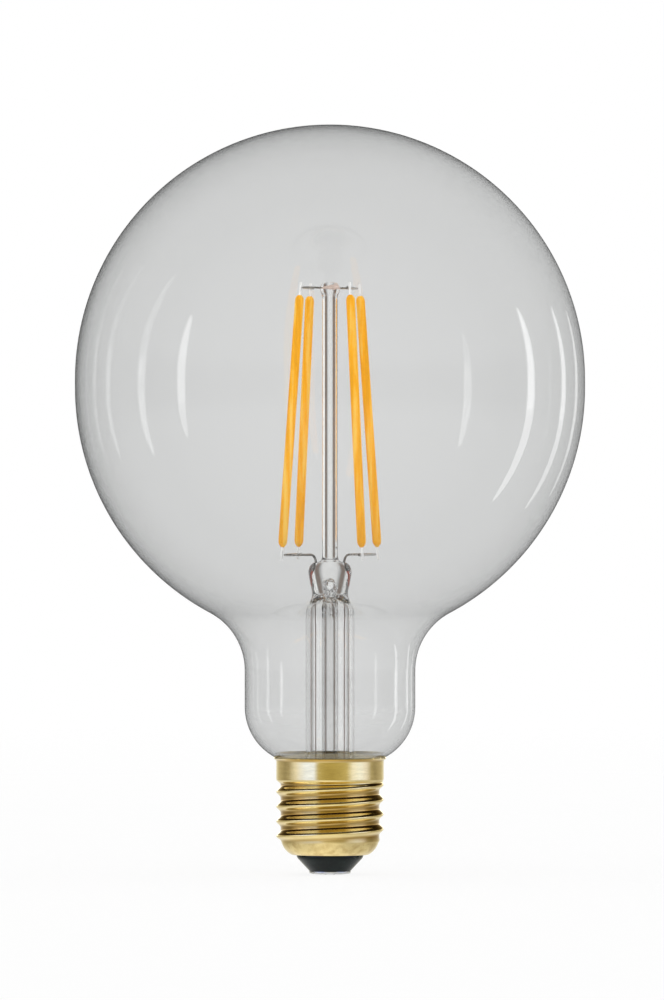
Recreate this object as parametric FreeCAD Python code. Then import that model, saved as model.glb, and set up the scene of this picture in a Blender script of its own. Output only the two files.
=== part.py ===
import FreeCAD, Part
import math
import os

# Clear globe bulb with four LED filaments on a glass stem and an E27 screw cap, in millimetres.
# The origin is the centre of the tip contact's end face and +Z runs up through the globe.

Vector = FreeCAD.Vector
UP = Vector(0, 0, 1)

# Tip contact and insulator
CONTACT_DIAMETER = 10.2
CONTACT_THICKNESS = 0.8
CONTACT_EDGE_ROUND = 0.5
CONTACT_PIN_DIAMETER = 2.6
INSULATOR_HEIGHT = 4.1
INSULATOR_TOP_DIAMETER = 16.4
INSULATOR_FLANGE_DIAMETER = 18.8
INSULATOR_FLANGE_HEIGHT = 0.7

# Screw shell
THREAD_MAJOR_DIAMETER = 26.4
THREAD_MINOR_DIAMETER = 24.2
THREAD_PITCH = 3.629
THREAD_CREST_RISE = 15.4
THREAD_SHARPNESS = 1.7
SHELL_WALL = 0.3
SHELL_HEIGHT = 23.6
SHELL_FOOT_RADIUS = 5.0
SHELL_FOOT_HEIGHT = 4.4
COLLAR_HEIGHT = 4.3
LIP_HEIGHT = 0.7
LIP_FLARE = 0.7
THREAD_FADE = 1.5
THREAD_STEPS = 8
SHELL_SECTORS = 24

# Globe and neck
GLOBE_DIAMETER = 125.0
GLOBE_STRAIGHT = 2.0
GLASS_WALL = 0.8
NECK_DIAMETER = 41.8
NECK_LENGTH = 21.5
NECK_BLEND_RADIUS = 16.0
SHOULDER_RADIUS = 14.0
SEAL_DIAMETER = 22.4
SEAL_DEPTH = 8.0
SEAL_BLEND_RADIUS = 2.0

# Stem
STEM_TUBE_DIAMETER = 11.9
STEM_TUBE_WALL = 1.0
STEM_TUBE_LENGTH = 43.5
EXHAUST_DIAMETER = 4.0
EXHAUST_BORE = 2.6
EXHAUST_TIP_DROP = 4.0
EXHAUST_TIP_LENGTH = 3.0
BLOW_HOLE_DIAMETER = 1.8
PRESS_HEIGHT = 12.4
PRESS_WIDTH = 10.5
PRESS_THICKNESS = 5.4
PRESS_WAIST_WIDTH = 8.8
PRESS_WAIST_THICKNESS = 7.8
PRESS_TOP_WIDTH = 8.2
PRESS_TOP_THICKNESS = 4.6
PILLAR_DIAMETER = 3.8
PILLAR_FOOT_FLARE = 0.3
BUTTON_DIAMETER = 4.9
BUTTON_HEIGHT = 2.8

# Filaments and their tabs
FILAMENT_LENGTH = 62.0
FILAMENT_DIAMETER = 2.2
FILAMENT_END_DIAMETER = 1.2
FILAMENT_END_LENGTH = 1.1
FILAMENT_TURN = 33.0
FILAMENT_RING_BOTTOM = 13.4
FILAMENT_RING_TOP = 8.0
TAB_WIDTH = 0.7
TAB_THICKNESS = 0.5
TAB_ROOT = 2.0
TAB_REACH = 3.1
TAB_WELD = 1.8

# Wires
LEAD_DIAMETER = 0.6
SEAL_WIRE_DIAMETER = 0.5
OUTER_LEAD_DIAMETER = 0.3
BRIDGE_DIAMETER = 0.5
LEAD_RISE = 2.0
LEAD_EXIT_INSET = 0.6
SEAL_WIRE_INSET = 1.0
WAIST_INSET = 0.65
LEAD_BEND = 1.9
SEAL_BEND = 1.0
CORNER_BEND = 0.9
CORNER_REACH = 2.6
END_REACH = 0.8

# Driver inside the cap
BOARD_DIAMETER = 22.0
BOARD_THICKNESS = 1.0
CAPACITOR_DIAMETER = 5.0
CAPACITOR_LENGTH = 9.0
CAPACITOR_OFFSET = 5.6
CHIP_LENGTH = 5.0
CHIP_WIDTH = 4.0
CHIP_HEIGHT = 1.6
CHIP_SPREAD = 10.8
CHIP_OFFSET = 4.8
RESISTOR_DIAMETER = 2.2
RESISTOR_LENGTH = 5.6
RESISTOR_START = 2.4
BOARD_WIRE_DIAMETER = 0.6
BOARD_WIRE_BEND = 0.8
BOARD_LEAD_REACH = 17.0
NEUTRAL_REACH = 17.6
NEUTRAL_RISE = 5.5

# Clearances
FIT_GAP = 0.05
WELD_GAP = 0.02
BOARD_GAP = 0.15
RIM_GAP = 0.45
WIRE_HOLE_GAP = 0.15

# Heights and radii that follow from the sizes above
shell_bottom_z = CONTACT_THICKNESS + INSULATOR_HEIGHT
rim_z = shell_bottom_z + SHELL_HEIGHT
thread_root = THREAD_MINOR_DIAMETER / 2
crest_z = shell_bottom_z + THREAD_CREST_RISE
thread_depth = (THREAD_MAJOR_DIAMETER - THREAD_MINOR_DIAMETER) / 2
foot_top_z = shell_bottom_z + SHELL_FOOT_HEIGHT
foot_centre_r = thread_root - SHELL_FOOT_RADIUS
collar_bottom_z = rim_z - LIP_HEIGHT - COLLAR_HEIGHT
shell_mouth = foot_centre_r + math.sqrt(SHELL_FOOT_RADIUS ** 2 - SHELL_FOOT_HEIGHT ** 2)

globe_radius = GLOBE_DIAMETER / 2
neck_radius = NECK_DIAMETER / 2
seal_radius = SEAL_DIAMETER / 2
seal_z = rim_z - SEAL_DEPTH
stem_radius = STEM_TUBE_DIAMETER / 2
stem_bore = stem_radius - STEM_TUBE_WALL
exhaust_radius = EXHAUST_DIAMETER / 2
tube_end_z = seal_z + STEM_TUBE_LENGTH
press_top_z = tube_end_z + PRESS_HEIGHT
lead_z = press_top_z + LEAD_RISE

ring_step = FILAMENT_RING_BOTTOM - FILAMENT_RING_TOP
weld_span = FILAMENT_LENGTH + 2 * TAB_WELD
bridge_z = lead_z + math.sqrt(weld_span ** 2 - ring_step ** 2)

foot_inner_radius = SHELL_FOOT_RADIUS - SHELL_WALL
board_seat = BOARD_DIAMETER / 2 + BOARD_GAP - foot_centre_r
board_z = foot_top_z - math.sqrt(max(foot_inner_radius ** 2 - board_seat ** 2, 0.0))
board_top_z = board_z + BOARD_THICKNESS

shoulder_r = neck_radius - SHOULDER_RADIUS
lip_run = THREAD_MAJOR_DIAMETER / 2 + LIP_FLARE - shoulder_r
shoulder_z = rim_z + RIM_GAP + math.sqrt(SHOULDER_RADIUS ** 2 - lip_run ** 2)
seal_blend_r = seal_radius + SEAL_BLEND_RADIUS
seal_blend_drop = math.sqrt((SHOULDER_RADIUS + SEAL_BLEND_RADIUS) ** 2 - (seal_blend_r - shoulder_r) ** 2)
seal_blend_z = shoulder_z - seal_blend_drop


def point(radius, height):
    return Vector(radius, 0, height)


def line(start, end):
    return Part.makeLine(point(*start), point(*end))


def arc(centre, radius, start, end):
    """Arc in the XZ plane about a centre (r, z), from one angle to another in degrees."""
    spots = []
    for angle in (start, (start + end) / 2, end):
        turn = math.radians(angle)
        spots.append(point(centre[0] + radius * math.cos(turn), centre[1] + radius * math.sin(turn)))
    return Part.Arc(*spots).toShape()


def angle_to(centre, target):
    return math.degrees(math.atan2(target[1] - centre[1], target[0] - centre[0]))


def spin(edges):
    """Solid turned about Z from a closed run of edges in the XZ plane."""
    wire = Part.Wire(Part.__sortEdges__(edges))
    return Part.Face(wire).revolve(Vector(0, 0, 0), UP, 360)


def spin_outline(corners):
    """Solid turned about Z from straight sides between (r, z) corners."""
    edges = [line(a, b) for a, b in zip(corners, corners[1:] + corners[:1])]
    return spin(edges)


def rod(start, end, diameter):
    along = end - start
    return Part.makeCylinder(diameter / 2, along.Length, start, along)


def bent_wire(corners, bends, diameter):
    """Round wire along straight runs, with a bend radius at each inner corner."""
    edges = []
    last = corners[0]
    for before, corner, after, bend in zip(corners, corners[1:], corners[2:], bends):
        into = (corner - before).normalize()
        out = (after - corner).normalize()
        turn = into.getAngle(out)
        reach = bend * math.tan(turn / 2)
        begin = corner - into * reach
        finish = corner + out * reach
        inward = (out - into).normalize()
        middle = corner + inward * (bend / math.cos(turn / 2) - bend)
        edges.append(Part.makeLine(last, begin))
        edges.append(Part.Arc(begin, middle, finish).toShape())
        last = finish
    edges.append(Part.makeLine(last, corners[-1]))
    ring = Part.Wire(Part.makeCircle(diameter / 2, corners[0], corners[1] - corners[0]))
    return Part.Wire(edges).makePipeShell([ring], True, False)


def half_turn(shape):
    turned = shape.copy()
    turned.rotate(Vector(0, 0, 0), UP, 180)
    return turned


# Glass envelope
def envelope_side(inset):
    """Edges of one side of the glass from the pole to the seal, moved in by the wall or by nothing."""
    blend = (neck_radius + NECK_BLEND_RADIUS, rim_z + NECK_LENGTH)
    rise = math.sqrt((globe_radius + NECK_BLEND_RADIUS) ** 2 - blend[0] ** 2)
    lower = (0, blend[1] + rise)
    upper = (0, lower[1] + GLOBE_STRAIGHT)
    shoulder = (shoulder_r, shoulder_z)
    seal = (seal_blend_r, seal_blend_z)
    globe_end = angle_to(lower, blend)
    shoulder_end = angle_to(shoulder, seal)
    skin = globe_radius - inset
    neck = neck_radius - inset
    throat = seal_radius - inset
    return [
        arc(upper, skin, 90, 0),
        line((skin, upper[1]), (skin, lower[1])),
        arc(lower, skin, 0, globe_end),
        arc(blend, NECK_BLEND_RADIUS + inset, globe_end + 180, 180),
        line((neck, blend[1]), (neck, shoulder[1])),
        arc(shoulder, SHOULDER_RADIUS - inset, 0, shoulder_end),
        arc(seal, SEAL_BLEND_RADIUS + inset, shoulder_end + 180, 180),
        line((throat, seal[1]), (throat, seal_z)),
    ]


def glass_globe():
    outer = envelope_side(0)
    inner = envelope_side(GLASS_WALL)
    top = Part.makeLine(outer[0].Vertexes[0].Point, inner[0].Vertexes[0].Point)
    foot = line((seal_radius, seal_z), (seal_radius - GLASS_WALL, seal_z))
    return spin(outer + inner + [top, foot])


# Glass stem
def flare_tube(top_z):
    flat = seal_radius - GLASS_WALL
    sweep = flat - stem_radius
    centre = (flat, seal_z + sweep)
    under_z = seal_z - STEM_TUBE_WALL
    return spin([
        line((stem_bore, top_z), (stem_radius, top_z)),
        line((stem_radius, top_z), (stem_radius, centre[1])),
        arc(centre, sweep, 180, 270),
        line((flat, seal_z), (seal_radius, seal_z)),
        line((seal_radius, seal_z), (seal_radius, under_z)),
        line((seal_radius, under_z), (flat, under_z)),
        arc(centre, sweep + STEM_TUBE_WALL, 270, 180),
        line((stem_bore, centre[1]), (stem_bore, top_z)),
    ])


def oval(height, width, depth):
    if width - depth < FIT_GAP:
        return Part.Wire(Part.makeCircle(width / 2, Vector(0, 0, height)))
    curve = Part.Ellipse(Vector(0, 0, height), width / 2, depth / 2)
    return Part.Wire(curve.toShape())


def press_block(bottom_z):
    middle_width = (PRESS_WAIST_WIDTH + PRESS_WIDTH) / 2
    middle_thickness = (PRESS_WAIST_THICKNESS + PRESS_THICKNESS) / 2
    shoulder_width = (PRESS_WIDTH + PRESS_WIDTH + PRESS_TOP_WIDTH) / 3
    shoulder_thickness = (PRESS_THICKNESS + PRESS_TOP_THICKNESS) / 2
    sections = [
        oval(bottom_z, STEM_TUBE_DIAMETER, STEM_TUBE_DIAMETER),
        oval(tube_end_z, STEM_TUBE_DIAMETER, STEM_TUBE_DIAMETER),
        oval(tube_end_z + PRESS_HEIGHT * 0.36, PRESS_WAIST_WIDTH, PRESS_WAIST_THICKNESS),
        oval(tube_end_z + PRESS_HEIGHT * 0.58, middle_width, middle_thickness),
        oval(tube_end_z + PRESS_HEIGHT * 0.82, PRESS_WIDTH, PRESS_THICKNESS),
        oval(tube_end_z + PRESS_HEIGHT * 0.94, shoulder_width, shoulder_thickness),
        oval(press_top_z, PRESS_TOP_WIDTH, PRESS_TOP_THICKNESS),
    ]
    return Part.makeLoft(sections, True)


def pillar():
    radius = PILLAR_DIAMETER / 2
    foot = radius + PILLAR_FOOT_FLARE
    foot_z = press_top_z - PRESS_HEIGHT / 10
    button = BUTTON_DIAMETER / 2
    half = BUTTON_HEIGHT / 2
    neck_z = bridge_z - BUTTON_HEIGHT
    top_z = bridge_z + half
    cheek = button * 0.8
    bulge = [point(radius, neck_z), point(button, bridge_z), point(cheek, bridge_z + half * 0.7), point(0, top_z)]
    curve = Part.BSplineCurve()
    curve.interpolate(bulge, InitialTangent=Vector(0, 0, 1), FinalTangent=Vector(-1, 0, 0))
    return spin([
        line((0, top_z), (0, foot_z)),
        line((0, foot_z), (foot, foot_z)),
        line((foot, foot_z), (foot, press_top_z)),
        line((foot, press_top_z), (radius, press_top_z + 3 * PILLAR_FOOT_FLARE)),
        line((radius, press_top_z + 3 * PILLAR_FOOT_FLARE), (radius, neck_z)),
        curve.toShape(),
    ])


def glass_stem(wires):
    join_z = tube_end_z - STEM_TUBE_WALL
    ceiling_z = tube_end_z + PRESS_HEIGHT / 3
    bore = EXHAUST_BORE / 2
    bore_top_z = tube_end_z + PRESS_HEIGHT * 0.66
    tip_z = seal_z - EXHAUST_TIP_DROP
    pinch_z = tip_z + EXHAUST_TIP_LENGTH
    annulus = spin_outline([
        (exhaust_radius, join_z), (stem_bore, join_z), (stem_bore, tube_end_z), (exhaust_radius, ceiling_z)])
    exhaust = spin_outline([(0, tip_z), (exhaust_radius, pinch_z), (exhaust_radius, join_z), (0, join_z)])
    passage = spin([
        line((0, pinch_z - bore), (bore, pinch_z)),
        line((bore, pinch_z), (bore, bore_top_z - bore)),
        arc((0, bore_top_z - bore), bore, 0, 90),
        line((0, bore_top_z), (0, pinch_z - bore)),
    ])
    vent_z = bore_top_z - bore
    vent = rod(Vector(0, 0, vent_z), Vector(0, -stem_radius, vent_z), BLOW_HOLE_DIAMETER)
    press = press_block(join_z).cut(annulus)
    body = flare_tube(join_z).fuse([press, exhaust, pillar()])
    return body.cut([passage, vent] + wires).removeSplitter().Solids[0]


# Wires and filaments
def ring_point(radius, angle, height):
    turn = math.radians(angle)
    return Vector(radius * math.cos(turn), radius * math.sin(turn), height)


def side_run(radius, height):
    """Corner, first weld, second weld and end of the wire that carries the right-hand pair."""
    first = ring_point(radius, FILAMENT_TURN, height)
    second = ring_point(radius, FILAMENT_TURN - 90, height)
    along = (second - first).normalize()
    return first - along * CORNER_REACH, first, second, second + along * END_REACH


def lead_path():
    """Corners of the whole right-hand lead from its free end to the driver board."""
    corner, first, second, end = side_run(FILAMENT_RING_BOTTOM, lead_z)
    exit_x = PRESS_TOP_WIDTH / 2 - LEAD_EXIT_INSET
    seal_x = PRESS_WIDTH / 2 - SEAL_WIRE_INSET
    waist_x = PRESS_WAIST_WIDTH / 2 - WAIST_INSET
    clear_x = (stem_bore + exhaust_radius) / 2
    board_x = BOARD_LEAD_REACH / 2
    return [
        end,
        corner,
        Vector(exit_x, 0, lead_z),
        Vector(exit_x, 0, press_top_z - LEAD_RISE / 2),
        Vector(seal_x, 0, tube_end_z + PRESS_HEIGHT * 0.76),
        Vector(waist_x, 0, tube_end_z + PRESS_HEIGHT * 0.34),
        Vector(clear_x, 0, tube_end_z - PRESS_HEIGHT / 4),
        Vector(clear_x, 0, seal_z + STEM_TUBE_DIAMETER / 2),
        Vector(board_x, 0, board_top_z + CAPACITOR_DIAMETER),
        Vector(board_x, 0, board_top_z),
    ]


def lead_parts():
    """Inner lead, seal wire and outer lead of the right-hand side, meeting end to end."""
    path = lead_path()
    upper = (path[3] + path[4]) / 2
    lower = (path[4] + path[5]) / 2
    inner = bent_wire(path[:4] + [upper], [CORNER_BEND, LEAD_BEND, SEAL_BEND], LEAD_DIAMETER)
    seal = bent_wire([upper, path[4], lower], [SEAL_BEND], SEAL_WIRE_DIAMETER)
    outer = bent_wire([lower] + path[5:], [SEAL_BEND] * 4, OUTER_LEAD_DIAMETER)
    return inner, seal, outer


def bridge_wire():
    corner, first, second, end = side_run(FILAMENT_RING_TOP, bridge_z)
    other_corner = Vector(-corner.x, -corner.y, corner.z)
    other_end = Vector(-end.x, -end.y, end.z)
    return bent_wire([end, corner, other_corner, other_end], [CORNER_BEND] * 2, BRIDGE_DIAMETER)


def filament_parts(weld_index):
    """Coated body, lower tab and upper tab of a right-hand filament."""
    low_run = side_run(FILAMENT_RING_BOTTOM, lead_z)
    high_run = side_run(FILAMENT_RING_TOP, bridge_z)
    along = (low_run[2] - low_run[1]).normalize()
    outward = along.cross(UP)
    if outward.dot(low_run[1] + low_run[2]) < 0:
        outward = outward * -1
    stand_off = TAB_THICKNESS / 2 + WELD_GAP
    low = low_run[weld_index] + outward * (LEAD_DIAMETER / 2 + stand_off)
    high = high_run[weld_index] + outward * (BRIDGE_DIAMETER / 2 + stand_off)
    axis = (high - low).normalize()
    face = axis.cross(along).normalize()
    across = face.cross(axis)
    placement = FreeCAD.Placement(low, FreeCAD.Rotation(across, face, axis, "ZYX"))

    bottom = TAB_WELD
    top = bottom + FILAMENT_LENGTH
    full = FILAMENT_DIAMETER / 2
    small = FILAMENT_END_DIAMETER / 2
    body = spin_outline([
        (0, bottom), (small, bottom), (full, bottom + FILAMENT_END_LENGTH),
        (full, top - FILAMENT_END_LENGTH), (small, top), (0, top)])
    edges = [edge for edge in body.Edges if edge.isClosed()]
    body = body.makeFillet(FILAMENT_END_LENGTH / 4, edges)
    corner = Vector(-TAB_WIDTH / 2, -TAB_THICKNESS / 2, bottom - TAB_REACH)
    low_tab = Part.makeBox(TAB_WIDTH, TAB_THICKNESS, TAB_REACH + TAB_ROOT, corner)
    high_tab = low_tab.copy()
    high_tab.translate(Vector(0, 0, FILAMENT_LENGTH + TAB_REACH - TAB_ROOT))
    body = body.cut([low_tab, high_tab]).Solids[0]
    for shape in (body, low_tab, high_tab):
        shape.Placement = placement.multiply(shape.Placement)
    return body, low_tab, high_tab


# Screw cap
def smooth_step(value):
    value = min(max(value, 0.0), 1.0)
    return value * value * (3 - 2 * value)


def shell_radius(turn, height):
    """Outer radius of the screw shell at an angle in radians and a height."""
    base = thread_root
    if height < foot_top_z:
        run = SHELL_FOOT_RADIUS ** 2 - (foot_top_z - height) ** 2
        base = foot_centre_r + math.sqrt(run)
    wave = 0.5 + 0.5 * math.cos(2 * math.pi * (height - crest_z) / THREAD_PITCH - turn + math.pi)
    wave = wave ** THREAD_SHARPNESS
    top = smooth_step((collar_bottom_z - height) / THREAD_FADE)
    bottom = smooth_step((height - foot_top_z + THREAD_FADE) / THREAD_FADE)
    lip = smooth_step((height - rim_z + LIP_HEIGHT) / (2 * LIP_HEIGHT)) * 2 * LIP_FLARE
    return base + thread_depth * (1 - (1 - wave) * top) * bottom + lip


def shell_ring(height, inset):
    """Closed ring round the screw shell at a height, moved in along its normal by the inset."""
    nudge = SHELL_WALL / 1000
    spots = []
    for sector in range(SHELL_SECTORS):
        turn = 2 * math.pi * sector / SHELL_SECTORS
        radius = shell_radius(turn, height)
        slope = (shell_radius(turn, height + nudge) - radius) / nudge
        steep = math.hypot(1, slope)
        flat = radius - inset / steep
        spots.append(Vector(flat * math.cos(turn), flat * math.sin(turn), height + inset * slope / steep))
    curve = Part.BSplineCurve()
    curve.interpolate(spots, PeriodicFlag=True)
    return curve.toShape()


def screw_shell():
    rows = math.ceil(SHELL_HEIGHT / THREAD_PITCH * THREAD_STEPS)
    heights = [shell_bottom_z + SHELL_HEIGHT * row / rows for row in range(rows + 1)]
    outer = [shell_ring(height, 0) for height in heights]
    inner = [shell_ring(height, SHELL_WALL) for height in reversed(heights)]
    rings = outer + inner
    bands = [Part.makeRuledSurface(a, b) for a, b in zip(rings, rings[1:] + rings[:1])]
    return Part.makeSolid(Part.makeShell(bands))


def insulator():
    hole = CONTACT_PIN_DIAMETER / 2
    foot = CONTACT_DIAMETER / 2
    top = INSULATOR_TOP_DIAMETER / 2
    throat = shell_mouth - SHELL_WALL - FIT_GAP
    flange = INSULATOR_FLANGE_DIAMETER / 2
    ledge_z = shell_bottom_z + 2 * SHELL_WALL + (flange - throat)
    flange_z = ledge_z + INSULATOR_FLANGE_HEIGHT
    return spin_outline([
        (hole, CONTACT_THICKNESS), (foot, CONTACT_THICKNESS), (top, shell_bottom_z - FIT_GAP),
        (throat, shell_bottom_z - FIT_GAP), (throat, ledge_z - (flange - throat)), (flange, ledge_z),
        (flange, flange_z), (hole, flange_z)])


def tip_contact():
    radius = CONTACT_DIAMETER / 2
    pin = CONTACT_PIN_DIAMETER / 2
    pin_top_z = board_z - BOARD_GAP
    flat = radius - CONTACT_EDGE_ROUND
    return spin([
        line((0, 0), (flat, 0)),
        arc((flat, CONTACT_EDGE_ROUND), CONTACT_EDGE_ROUND, 270, 360),
        line((radius, CONTACT_EDGE_ROUND), (radius, CONTACT_THICKNESS)),
        line((radius, CONTACT_THICKNESS), (pin, CONTACT_THICKNESS)),
        line((pin, CONTACT_THICKNESS), (pin, pin_top_z)),
        line((pin, pin_top_z), (0, pin_top_z)),
        line((0, pin_top_z), (0, 0)),
    ])


def cap_cement():
    """Ring between the neck and the collar, whose inner side follows the glass up to the rim."""
    outer = THREAD_MAJOR_DIAMETER / 2 - SHELL_WALL - FIT_GAP
    throat = seal_radius + FIT_GAP
    seal = (seal_blend_r, seal_blend_z)
    fillet = arc(seal, SEAL_BLEND_RADIUS - FIT_GAP, angle_to((shoulder_r, shoulder_z), seal) + 180, 180)
    edge = fillet.Vertexes[0].Point
    return spin([
        line((throat, collar_bottom_z), (outer, collar_bottom_z)),
        line((outer, collar_bottom_z), (outer, edge.z)),
        line((outer, edge.z), (edge.x, edge.z)),
        fillet,
        line((throat, seal_blend_z), (throat, collar_bottom_z)),
    ])


# Driver
def chip(side):
    corner = Vector(side * CHIP_SPREAD / 2 - CHIP_LENGTH / 2, -CHIP_OFFSET - CHIP_WIDTH / 2, board_top_z)
    block = Part.makeBox(CHIP_LENGTH, CHIP_WIDTH, CHIP_HEIGHT, corner)
    return block.makeChamfer(CHIP_HEIGHT / 6, block.Edges)


def capacitor():
    height = board_top_z + CAPACITOR_DIAMETER / 2
    start = Vector(-CAPACITOR_LENGTH / 2, CAPACITOR_OFFSET, height)
    can = rod(start, start + Vector(CAPACITOR_LENGTH, 0, 0), CAPACITOR_DIAMETER)
    return can.makeFillet(CAPACITOR_DIAMETER / 10, [edge for edge in can.Edges if edge.isClosed()])


def resistor():
    height = board_top_z + RESISTOR_DIAMETER / 2
    start = Vector(RESISTOR_START, 0, height)
    tube = rod(start, start + Vector(RESISTOR_LENGTH, 0, 0), RESISTOR_DIAMETER)
    return tube.makeFillet(RESISTOR_DIAMETER / 5, [edge for edge in tube.Edges if edge.isClosed()])


def live_wire():
    height = board_top_z + RESISTOR_DIAMETER / 2
    path = [Vector(0, 0, board_z - BOARD_GAP), Vector(0, 0, height), Vector(RESISTOR_START, 0, height)]
    return bent_wire(path, [BOARD_WIRE_BEND], BOARD_WIRE_DIAMETER)


def neutral_wire():
    base = Vector(0, -NEUTRAL_REACH / 2, board_top_z)
    turn = base + Vector(0, 0, NEUTRAL_RISE)
    wall = thread_root - SHELL_WALL - FIT_GAP - BOARD_WIRE_DIAMETER / 2
    end = Vector(0, -wall, turn.z + wall + base.y)
    return bent_wire([base, turn, end], [BOARD_WIRE_BEND], BOARD_WIRE_DIAMETER)


def driver_board():
    disc = Part.makeCylinder(BOARD_DIAMETER / 2, BOARD_THICKNESS, Vector(0, 0, board_z))
    hole = rod(Vector(0, 0, board_z), Vector(0, 0, board_top_z), BOARD_WIRE_DIAMETER + 2 * WIRE_HOLE_GAP)
    return disc.cut(hole)


def build():
    inner, seal, outer = lead_parts()
    bridge = bridge_wire()
    leads = {
        "inner_lead_right": inner,
        "inner_lead_left": half_turn(inner),
        "seal_wire_right": seal,
        "seal_wire_left": half_turn(seal),
        "outer_lead_right": outer,
        "outer_lead_left": half_turn(outer),
        "bridge_wire": bridge,
    }
    nodes = dict(leads)
    nodes["glass_globe"] = glass_globe()
    nodes["glass_stem"] = glass_stem(list(leads.values()))
    for weld_index, place in ((1, "outer"), (2, "inner")):
        for kind, shape in zip(("filament", "low_tab", "high_tab"), filament_parts(weld_index)):
            nodes["%s_%s_right" % (kind, place)] = shape
            nodes["%s_%s_left" % (kind, place)] = half_turn(shape)
    nodes["screw_shell"] = screw_shell()
    nodes["insulator"] = insulator()
    nodes["tip_contact"] = tip_contact()
    nodes["cap_cement"] = cap_cement()
    nodes["driver_board"] = driver_board()
    nodes["bridge_rectifier"] = chip(-1)
    nodes["driver_chip"] = chip(1)
    nodes["smoothing_capacitor"] = capacitor()
    nodes["fuse_resistor"] = resistor()
    nodes["live_wire"] = live_wire()
    nodes["neutral_wire"] = neutral_wire()
    return nodes


os.makedirs("parts", exist_ok=True)
for node, shape in build().items():
    shape.exportStep("parts/%s.step" % node)
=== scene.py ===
import math

import bpy
from bpy.props import FloatProperty, FloatVectorProperty, IntProperty, PointerProperty
from bpy.types import Operator, Panel, PropertyGroup
from mathutils import Matrix, Vector


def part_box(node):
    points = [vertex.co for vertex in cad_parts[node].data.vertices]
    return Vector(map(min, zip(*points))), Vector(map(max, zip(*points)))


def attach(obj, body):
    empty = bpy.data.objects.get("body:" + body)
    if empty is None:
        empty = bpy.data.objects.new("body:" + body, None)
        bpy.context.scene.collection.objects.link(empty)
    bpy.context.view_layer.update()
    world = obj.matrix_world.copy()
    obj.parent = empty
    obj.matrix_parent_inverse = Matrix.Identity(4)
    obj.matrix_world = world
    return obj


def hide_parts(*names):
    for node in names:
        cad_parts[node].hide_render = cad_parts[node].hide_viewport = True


bl_info = {
    "name": "Globe Bulb",
    "version": (1, 0, 0),
    "blender": (4, 5, 0),
    "location": "3D View > Sidebar > Bulb",
    "description": "Dresses a clear globe bulb with four LED filaments on its CAD frame",
    "category": "Object",
}

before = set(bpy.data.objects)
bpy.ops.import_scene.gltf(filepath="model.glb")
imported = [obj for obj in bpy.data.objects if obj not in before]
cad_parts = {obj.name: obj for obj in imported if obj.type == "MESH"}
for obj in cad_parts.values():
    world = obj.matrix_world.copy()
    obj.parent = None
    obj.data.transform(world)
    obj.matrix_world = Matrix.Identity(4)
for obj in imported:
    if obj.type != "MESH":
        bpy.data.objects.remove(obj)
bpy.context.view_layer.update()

MM = 0.001
BODY = "root"
SIDES = ("left", "right")
PLACES = ("inner", "outer")
WIRE_RADIUS = 0.25 * MM
# A ray that crosses more surfaces than this went through the stem as well as the globe's two walls
GLOBE_DEPTH = 5.5
globe_low, globe_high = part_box("glass_globe")
stem_low, stem_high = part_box("glass_stem")
shell_low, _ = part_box("screw_shell")
contact_low, contact_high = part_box("tip_contact")
bridge_low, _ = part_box("bridge_wire")


def length(label, description, default):
    return FloatProperty(
        name=label, description=description, default=default, min=0.0, unit="LENGTH", subtype="DISTANCE")


def colour(label, description, default):
    return FloatVectorProperty(
        name=label, description=description, default=default, size=3, min=0.0, max=1.0, subtype="COLOR")


def share(label, description, default):
    return FloatProperty(
        name=label, description=description, default=default, min=0.0, max=1.0, subtype="FACTOR")


def density(label, description, default):
    return FloatProperty(name=label, description=description, default=default, min=0.0)


class BulbGlassSizes(PropertyGroup):
    """Sizes of the blown envelope"""

    diameter: length("Globe diameter", "Outer diameter of the globe", globe_high.x - globe_low.x)
    straight: length("Straight band", "Height of the straight band at the globe's middle", 2.0 * MM)
    top: length("Top", "Height of the globe's top", globe_high.z)
    wall: length("Wall", "Thickness of the glass", 0.8 * MM)
    neck: length("Neck diameter", "Outer diameter of the neck", 41.8 * MM)
    blend: length("Neck blend", "Radius where the globe runs into the neck", 16.0 * MM)
    blend_height: length("Blend height", "Height where the neck's straight part ends", 50.0 * MM)
    shoulder: length("Shoulder radius", "Radius where the neck runs in above the cap", 14.0 * MM)
    shoulder_height: length("Shoulder height", "Height where the shoulder begins", 41.07 * MM)
    seal: length("Seal diameter", "Outer diameter of the throat in the cap", 22.4 * MM)
    seal_blend: length("Seal blend", "Radius where the shoulder runs into the throat", 2.0 * MM)
    seal_height: length("Seal height", "Height of the throat's lower end", globe_low.z)
    segments: IntProperty(name="Segments", description="Steps round the glass", default=192, min=16)


class BulbStemSizes(PropertyGroup):
    """Sizes of the glass stem"""

    tip: length("Tip height", "Height of the sealed exhaust tip", stem_low.z)
    exhaust: length("Exhaust diameter", "Outer diameter of the exhaust tube", 4.0 * MM)
    bore: length("Exhaust bore", "Bore of the exhaust tube", 2.6 * MM)
    vent: length("Vent diameter", "Diameter of the blow hole in the press", 1.8 * MM)
    vent_height: length("Vent height", "Height of the blow hole", 70.9 * MM)
    tube: length("Tube diameter", "Outer diameter of the flare tube", 11.9 * MM)
    wall: length("Tube wall", "Wall of the flare tube", 1.0 * MM)
    flange: length("Flange diameter", "Diameter of the flare's rim", stem_high.x - stem_low.x)
    tube_end: length("Tube end", "Height where the tube is pressed", 64.0 * MM)
    press: length("Press height", "Height of the press", 12.4 * MM)
    pillar: length("Pillar diameter", "Diameter of the glass pillar", 3.8 * MM)
    button: length("Button diameter", "Diameter of the button on the pillar", 4.9 * MM)
    button_height: length(
        "Button height", "Height of the bridge wire in the button", bridge_low.z + WIRE_RADIUS)
    top: length("Top", "Height of the button's top", stem_high.z)
    segments: IntProperty(name="Segments", description="Steps round the stem", default=96, min=16)


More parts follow.
